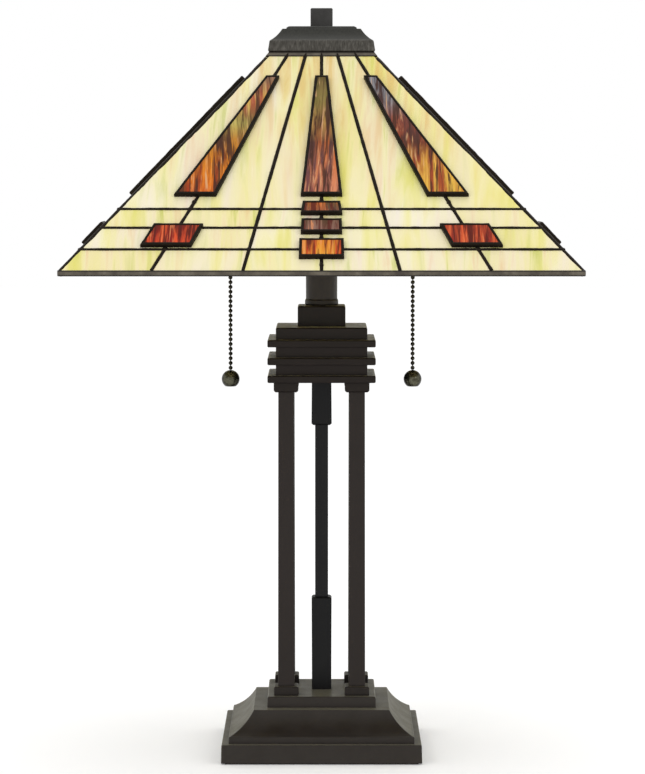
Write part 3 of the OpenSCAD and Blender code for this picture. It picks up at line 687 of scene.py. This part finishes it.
def make_field_glass(panels, material):
    for panel in panels:
        rng = random.Random(100 + panel.side)
        node = "field_glass_" + SIDES[panel.side]
        bm = bmesh.new()
        for pane in panes(node, panel):
            glass_mesh(bm, panel, pane, rng, FIELD_GRID, FIELD_RIPPLE)
        piece("field_panes_" + SIDES[panel.side], bm, "shade", material, [node])


def make_accent_glass(panels, name, node, material, stains, seed):
    rng = random.Random(seed)
    bm = bmesh.new()
    for panel in panels:
        found = panes(node, panel)
        for number, pane in enumerate(found):
            stain = stains[(number + panel.side) % len(found)]
            glass_mesh(bm, panel, pane, rng, ACCENT_GRID, ACCENT_RIPPLE, stain)
    piece(name, bm, "shade", material, [node])


# ---- Leading ----

CAME_WIDTH = 2.3 * MM
# The cames that run up the slope look wider than the level ones.
UPRIGHT_WIDTH = 1.22 * CAME_WIDTH
# How far a came stands out of the field glass, outside the shade and inside it.
CAME_HEIGHT = 1.0 * MM
CAME_INSIDE = 0.9 * MM
# How far an accent pane's frame stands over the pane.
FRAME_LIP = 0.4 * MM
# The solder spots where cames meet: their radius, and the heights of their foot and top.
SPOT_RADIUS = 1.9 * MM
SPOT_HEIGHTS = (0.2 * MM, 1.45 * MM)
# An upright seam shorter than this has one higher lump of solder in its middle.
SHORT_SEAM = 12 * MM
LUMP_HEIGHTS = (0.1 * MM, 2.2 * MM)
# How far up the slope the cames end, to stay clear of the rim's edge.
RIM_MARGIN = 3.3 * MM


def shared_seams(outlines, gap):
    """The middle lines between panes that face each other across a came."""
    edges = []
    for number, outline in enumerate(outlines):
        for a, b in zip(outline, outline[1:] + outline[:1]):
            edges.append((number, Vector(a), Vector(b)))
    seams = []
    for i, (first, a, b) in enumerate(edges):
        along = (b - a).normalized()
        out = Vector((along.y, -along.x))
        for second, c, d in edges[i + 1:]:
            if second == first or along.dot((d - c).normalized()) > -0.9998:
                continue
            distance = out.dot(c - a)
            if not 0.85 * gap < distance < 1.15 * gap:
                continue
            low = max(0, min(along.dot(c - a), along.dot(d - a)))
            high = min((b - a).length, max(along.dot(c - a), along.dot(d - a)))
            if high - low > 0.3 * MM:
                middle = a + out * distance / 2
                seams.append((middle + along * low, middle + along * high))
    return seams


def joined(seams, gap):
    """Joins seams that run on from each other into long lines."""
    lines = [tuple(s) for s in seams]
    merged = True
    while merged:
        merged = False
        for i, (a, b) in enumerate(lines):
            along = (b - a).normalized()
            for j in range(i + 1, len(lines)):
                c, d = lines[j]
                if abs(along.dot((d - c).normalized())) < 0.9998:
                    continue
                if abs(along.cross(c - a)) > 0.25 * MM or abs(along.cross(d - a)) > 0.25 * MM:
                    continue
                spots = sorted([0, (b - a).length]), sorted([along.dot(c - a), along.dot(d - a)])
                if spots[1][0] - spots[0][1] > 1.3 * gap or spots[0][0] - spots[1][1] > 1.3 * gap:
                    continue
                low, high = min(spots[0][0], spots[1][0]), max(spots[0][1], spots[1][1])
                lines[i] = (a + along * low, a + along * high)
                del lines[j]
                merged = True
                break
            if merged:
                break
    return lines


def came_section(width, low, high, wobble):
    """A came's cross-section: a flat-sided heart with a round bead of solder on each face."""
    half = width / 2 * (1 + 0.10 * wobble)
    bead = 1.0 * MM
    top = high + 0.22 * MM * wobble
    points = []
    for i in range(7):
        angle = math.pi * i / 6
        points.append((half * math.cos(angle), top - bead + bead * math.sin(angle)))
    for i in range(5):
        angle = math.pi * i / 4
        points.append((-half * math.cos(angle), low + 0.6 * bead - 0.6 * bead * math.sin(angle)))
    return points


def sweep_came(bm, panel, path, width, low, high, closed=False, seed=0.0, pitch=2.2 * MM):
    """Runs a slightly uneven came along a path of [x, y] points on a panel, mitred at the corners."""
    path = [Vector(p) for p in path]
    count = len(path)
    stops = []
    spans = count if closed else count - 1
    for i in range(spans):
        a, b = path[i], path[(i + 1) % count]
        along = (b - a).normalized()
        side = Vector((-along.y, along.x))
        steps = max(2, round((b - a).length / pitch))
        for k in range(steps + (0 if closed or i < spans - 1 else 1)):
            if k == 0 and (closed or i > 0):
                before = (a - path[i - 1]).normalized()
                mitre = (Vector((-before.y, before.x)) + side).normalized()
                stops.append((a, mitre / max(0.4, mitre.dot(side))))
            else:
                stops.append((a.lerp(b, k / steps), side))
    rings = []
    for spot, side in stops:
        wobble = noise.noise(Vector((spot.x * 160 + seed, spot.y * 160, seed)))
        wobble += 0.6 * noise.noise(Vector((spot.x * 420, spot.y * 420 + seed, 3)))
        rings.append([panel.world(spot.x + side.x * s, spot.y + side.y * s, n)
                      for s, n in came_section(width, low, high, wobble)])
    stack_rings(bm, rings, closed)


def solder_spot(bm, panel, spot, radius, height, rng):
    """A flattened lump of solder where cames meet."""
    rows, around = 3, 10
    spin = rng.uniform(0, 6)
    sizes = [radius * rng.uniform(0.85, 1.15) for _ in range(around)]
    rings = []
    for row in range(rows):
        angle = math.radians(80 * row / (rows - 1))
        n = height[0] + (height[1] - height[0]) * math.sin(angle)
        ring = []
        for i, size in enumerate(sizes):
            turn = spin + 2 * math.pi * i / around
            reach = size * math.cos(angle)
            ring.append(panel.world(spot.x + reach * math.cos(turn), spot.y + reach * math.sin(turn), n))
        rings.append(ring)
    stack_rings(bm, rings)


def crossings(lines, gap):
    """Where one line meets or crosses another."""
    spots = []
    for i, (a, b) in enumerate(lines):
        for c, d in lines[i + 1:]:
            u, w = b - a, d - c
            base = u.cross(w)
            if abs(base) < 1e-9:
                continue
            s, t = (c - a).cross(w) / base, (c - a).cross(u) / base
            if -gap < s * u.length < u.length + gap and -gap < t * w.length < w.length + gap:
                spots.append(a + u * s)
    return spots


def grown(outline, distance):
    """A convex outline, anticlockwise, with every side moved out."""
    count = len(outline)
    points = [Vector(p) for p in outline]
    result = []
    for i in range(count):
        before = (points[i] - points[i - 1]).normalized()
        after = (points[(i + 1) % count] - points[i]).normalized()
        mitre = (Vector((before.y, -before.x)) + Vector((after.y, -after.x))).normalized()
        result.append(points[i] + mitre * distance / mitre.dot(Vector((after.y, -after.x))))
    return result


def above_rim(spot, along):
    """A came's end, moved up the came where it would run over the rim."""
    if spot.y >= RIM_MARGIN:
        return spot
    return spot + along * ((RIM_MARGIN - spot.y) / along.y)


def make_leading(panels, material):
    rng = random.Random(7)
    gap = CAME_WIDTH
    bm = bmesh.new()
    for panel in panels:
        field = panes("field_glass_" + SIDES[panel.side], panel)
        accents = panes("long_accent_glass", panel) + panes("border_accent_glass", panel)
        inner = field[0][1] - CAME_INSIDE
        lines = joined(shared_seams([pane[0] for pane in field], gap), gap)
        for number, (a, b) in enumerate(lines):
            along = (b - a).normalized() * gap / 2
            rail = abs(along.y) < 0.1 * abs(along.x)
            width = gap if rail else UPRIGHT_WIDTH
            ends = [above_rim(spot, along) for spot in (a - along, b + along)]
            sweep_came(bm, panel, ends, width, inner, CAME_HEIGHT, seed=number * 3.1 + panel.side)
            if (b - a).length < SHORT_SEAM and not rail:
                solder_spot(bm, panel, (a + b) / 2, SPOT_RADIUS, LUMP_HEIGHTS, rng)
        for spot in crossings(lines, 1.5 * gap):
            solder_spot(bm, panel, spot, SPOT_RADIUS, SPOT_HEIGHTS, rng)
        for number, (outline, _, top) in enumerate(accents):
            path = grown(outline, gap / 2)
            height = top + FRAME_LIP
            sweep_came(bm, panel, path, gap, inner, height, closed=True, seed=60 + number * 2.3)
    piece("leading_work", bm, "shade", material, ["leading"], sharp_angle=70)


def make_hips(panel, material):
    """A round bead of solder over each corner of the shade."""
    low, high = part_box("hip_cames")
    radius, inwards, down = 2.45 * MM, 1.09 * MM, 2.03 * MM
    foot = 3.4 * MM
    around, steps = 12, 90
    bm = bmesh.new()
    for quarter in range(4):
        turn = Matrix.Rotation(math.radians(90 * quarter), 3, "Z")
        ends = []
        for z in (low.z + foot, high.z):
            reach = -panel.point_at_height(z, panel.axes[2]).y - inwards
            ends.append(turn @ Vector((reach, -reach, z - down)))
        side = (ends[1] - ends[0]).cross(UP).normalized()
        over = side.cross(ends[1] - ends[0]).normalized()
        rings = []
        for i in range(steps + 1):
            spot = ends[0].lerp(ends[1], i / steps)
            size = radius * (1 + 0.07 * noise.noise(spot * 180) + 0.05 * noise.noise(spot * 60))
            rings.append([spot + (side * math.cos(angle) + over * math.sin(angle)) * size
                          for angle in (2 * math.pi * k / around for k in range(around))])
        stack_rings(bm, rings)
    piece("hip_beads", bm, "shade", material, ["hip_cames"], sharp_angle=80)


def make_rim(materials):
    """The metal edge that holds the bottom of the glass, with solder at its corners."""
    low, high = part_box("rim_frame")
    band, corner = 6.4 * MM, 2.6 * MM
    lump_radius, lump_inset, lump_rise = 2.8 * MM, 3.05 * MM, 2.5 * MM
    outline = profile(solids("rim_frame")[0])[0]
    inner = high.x - band
    loop = [(inner, low.z), *filleted(outline, 0.5 * MM), (inner, high.z)]
    bm = bmesh.new()
    square_loft(bm, loop, corner=corner, closed=True)
    piece("rim_edge", bm, "shade", materials["rim"], ["rim_frame"], sharp_angle=60)
    bm = bmesh.new()
    rng = random.Random(21)
    for x in (-1, 1):
        for y in (-1, 1):
            centre = Vector((x, y, 0)) * (high.x - lump_inset) + UP * (low.z + lump_rise)
            sizes = [lump_radius * rng.uniform(0.92, 1.0) for _ in range(3)]
            ball = bmesh.ops.create_uvsphere(bm, u_segments=20, v_segments=12, radius=1)
            for vert in ball["verts"]:
                lump = 1 + 0.06 * noise.noise(vert.co * 2 + centre * 9)
                vert.co = Vector(c * s for c, s in zip(vert.co * lump, sizes)) + centre
    # The spheres' points and faces come in another order each run, so they are put in a fixed one.
    across = Vector((1.0, 1.7, 2.9))
    bm.verts.sort(key=lambda vert: vert.co.dot(across))
    bm.faces.sort(key=lambda face: face.calc_center_median().dot(across))
    piece("corner_solder", bm, "shade", materials["lead"], sharp_angle=80)


# ---- Metalwork ----

def make_stand(m):
    squares_from("plinth", "base_plinth", "stand", m["bronze"], 1.1 * MM, 0.9 * MM, 5)
    squares_from("cove", "base_cove", "stand", m["bronze"], 0.9 * MM, 0.5 * MM, 5)
    squares_from("pedestal", "pedestal_plate", "stand", m["bronze"], 0.8 * MM, 0.7 * MM)
    squares_from("feet", "post_feet", "stand", m["shaded_post_bronze"], 0.6 * MM, 0.5 * MM)
    squares_from("square_posts", "posts", "stand", m["shaded_post_bronze"], 0.7 * MM, 0.2 * MM)
    squares_from("capitals", "post_capitals", "stand", m["shaded_block_bronze"], 0.6 * MM, 0.5 * MM)
    squares_from("sleeve_low", "lower_sleeve", "stand", m["black"], 0.7 * MM, 0.5 * MM)
    squares_from("centre_rod", "centre_tube", "stand", m["black"], 0.6 * MM, 0.2 * MM)
    squares_from("sleeve_high", "upper_sleeve", "stand", m["black"], 0.7 * MM, 0.5 * MM)
    for level in ("lower", "middle", "upper"):
        squares_from(level + "_plate", level + "_flange", "stand", m["shaded_block_bronze"], 0.6 * MM, 0.4 * MM)
    squares_from("spacers", "flange_spacers", "stand", m["shaded_block_bronze"], 0.6 * MM, 0.3 * MM)
    squares_from("core", "core_plate", "stand", m["shaded_block_bronze"], 0.8 * MM, 0.7 * MM)
    squares_from("collar", "collar_block", "stand", m["shaded_block_bronze"], 0.8 * MM, 0.6 * MM)
    rounds_from("neck_bead", "neck_ring", "stand", m["bronze"], 0.5 * MM)
    rounds_from("neck", "neck_tube", "stand", m["bronze"], 0.2 * MM)


def rounds_from(name, node, body, material, fillet, count=64):
    """Rebuilds a CAD node of round solids with rounded edges and finer facets."""
    bm = bmesh.new()
    for solid in solids(node):
        outline, centre = profile(solid, radial=True)
        lathe(bm, filleted(outline, fillet), centre, count)
    weight_normals(piece(name, bm, body, material, [node]))


def make_pulls(m):
    for side in ("left", "right"):
        rounds_from(side + "_lead_beads", side + "_chain_lead", side + "_pull", m["bead"], 0.1 * MM, 24)
        rounds_from(side + "_beads", side + "_chain", side + "_drop", m["bead"], 0.1 * MM, 24)
        rounds_from(side + "_ball", side + "_ball_pull", side + "_drop", m["pull"], 0.8 * MM, 64)


def make_top(m):
    squares_from("roof_cap", "cap", "shade", m["cap"], 1.0 * MM, 0.6 * MM, 5, bored=True)
    squares_from("finial_block", "finial", "finial", m["pewter"], 0.8 * MM, 0.6 * MM, bored=True)
    low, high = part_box("top_frame")
    outline = profile(solids("top_frame")[0])[0]
    # The hole in the middle, which the cap hides.
    inner = 38 * MM
    bm = bmesh.new()
    square_loft(bm, [*outline, (inner, high.z), (inner, low.z)], corner=1.2 * MM, closed=True)
    piece("top_edge", bm, "shade", m["top_rim"], ["top_frame"], sharp_angle=50)


def paint(nodes, material):
    """Gives CAD nodes that keep their own shape a finish."""
    for name in nodes:
        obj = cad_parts[name]
        obj.data.materials.clear()
        obj.data.materials.append(material)


def finish_inner_parts(m):
    paint(["felt_pad"], m["felt"])
    paint(["base_cover_plate", "base_nipple", "base_locknut", "post_tie_rods", "post_nuts",
           "top_nipple", "riser_rod", "riser_locknut", "shade_spider"], m["steel"])
    paint(["ballast_weight"], m["iron"])
    paint(["cord_bushing"], m["rubber"])
    paint(["lead_wires"], m["wire"])
    paint(["cluster_body", "cluster_arms"], m["bronze"])
    paint(["socket_caps", "socket_shells", "chain_nozzles"], m["brass"])
    paint(["socket_liners"], m["fibre"])
    paint(["socket_interiors"], m["phenolic"])
    paint(["left_bulb_glass", "right_bulb_glass"], m["bulb"])
    paint(["left_bulb_base", "right_bulb_base"], m["bulb_cap"])


# ---- Studio ----

def area_light(name, place, aim, size, power):
    data = bpy.data.lights.new(name, "AREA")
    data.shape = "RECTANGLE"
    data.size, data.size_y = size
    data.energy = power
    light = bpy.data.objects.new(name, data)
    bpy.context.scene.collection.objects.link(light)
    light.location = place
    light.rotation_euler = (Vector(aim) - Vector(place)).to_track_quat("-Z", "Y").to_euler()


def make_floor():
    bm = bmesh.new()
    bmesh.ops.create_circle(bm, cap_ends=True, segments=96, radius=9)
    mesh = bpy.data.meshes.new("floor")
    bm.to_mesh(mesh)
    bm.free()
    floor = bpy.data.objects.new("floor", mesh)
    bpy.context.scene.collection.objects.link(floor)
    material, _, main = shader("pale_floor")
    main.inputs["Base Color"].default_value = (0.92, 0.92, 0.92, 1)
    main.inputs["Roughness"].default_value = 0.9
    main.inputs["Specular IOR Level"].default_value = 0.0
    main.inputs["Emission Color"].default_value = (1, 1, 1, 1)
    main.inputs["Emission Strength"].default_value = 0.12
    mesh.materials.append(material)


def make_studio():
    """A white floor and surround, with three soft lights for the highlights."""
    world = bpy.data.worlds.new("studio")
    bpy.context.scene.world = world
    world.use_nodes = True
    background = world.node_tree.nodes["Background"]
    background.inputs["Color"].default_value = (1, 1, 1, 1)
    background.inputs["Strength"].default_value = 1.0
    make_floor()
    aim = (0, 0, 0.35)
    area_light("key", (-1.5, -2.2, 2.1), aim, (0.6, 0.6), 9)
    area_light("fill", (1.9, -2.0, 1.6), aim, (0.6, 0.6), 5)
    area_light("top", (0.2, 0.6, 2.6), aim, (1.2, 1.2), 6)


def make_camera():
    """Straight on, from a little above the rim of the shade, with a long lens."""
    distance, height, aim_height, offset = 2.6, 0.4956, 0.30195, 0.00075
    picture_height = 0.6436
    data = bpy.data.cameras.new("camera")
    camera = bpy.data.objects.new("camera", data)
    bpy.context.scene.collection.objects.link(camera)
    place, aim = Vector((offset, -distance, height)), Vector((offset, 0, aim_height))
    camera.location = place
    camera.rotation_euler = (aim - place).to_track_quat("-Z", "Y").to_euler()
    data.sensor_width = 36
    data.lens = data.sensor_width * (aim - place).length / picture_height
    bpy.context.scene.camera = camera


make_camera()
bpy.context.scene.view_settings.view_transform = "Standard"
materials = make_materials()
all_panels = [Panel(side) for side in range(4)]
make_stand(materials)
make_top(materials)
make_field_glass(all_panels, materials["cream"])
make_accent_glass(all_panels, "long_accents", "long_accent_glass", materials["amber"], LONG_STAINS, 31)
make_accent_glass(all_panels, "border_accents", "border_accent_glass", materials["red"], BORDER_STAINS, 47)
make_leading(all_panels, materials["lead"])
make_hips(all_panels[0], materials["lead"])
make_rim(materials)
make_pulls(materials)
finish_inner_parts(materials)
make_studio()
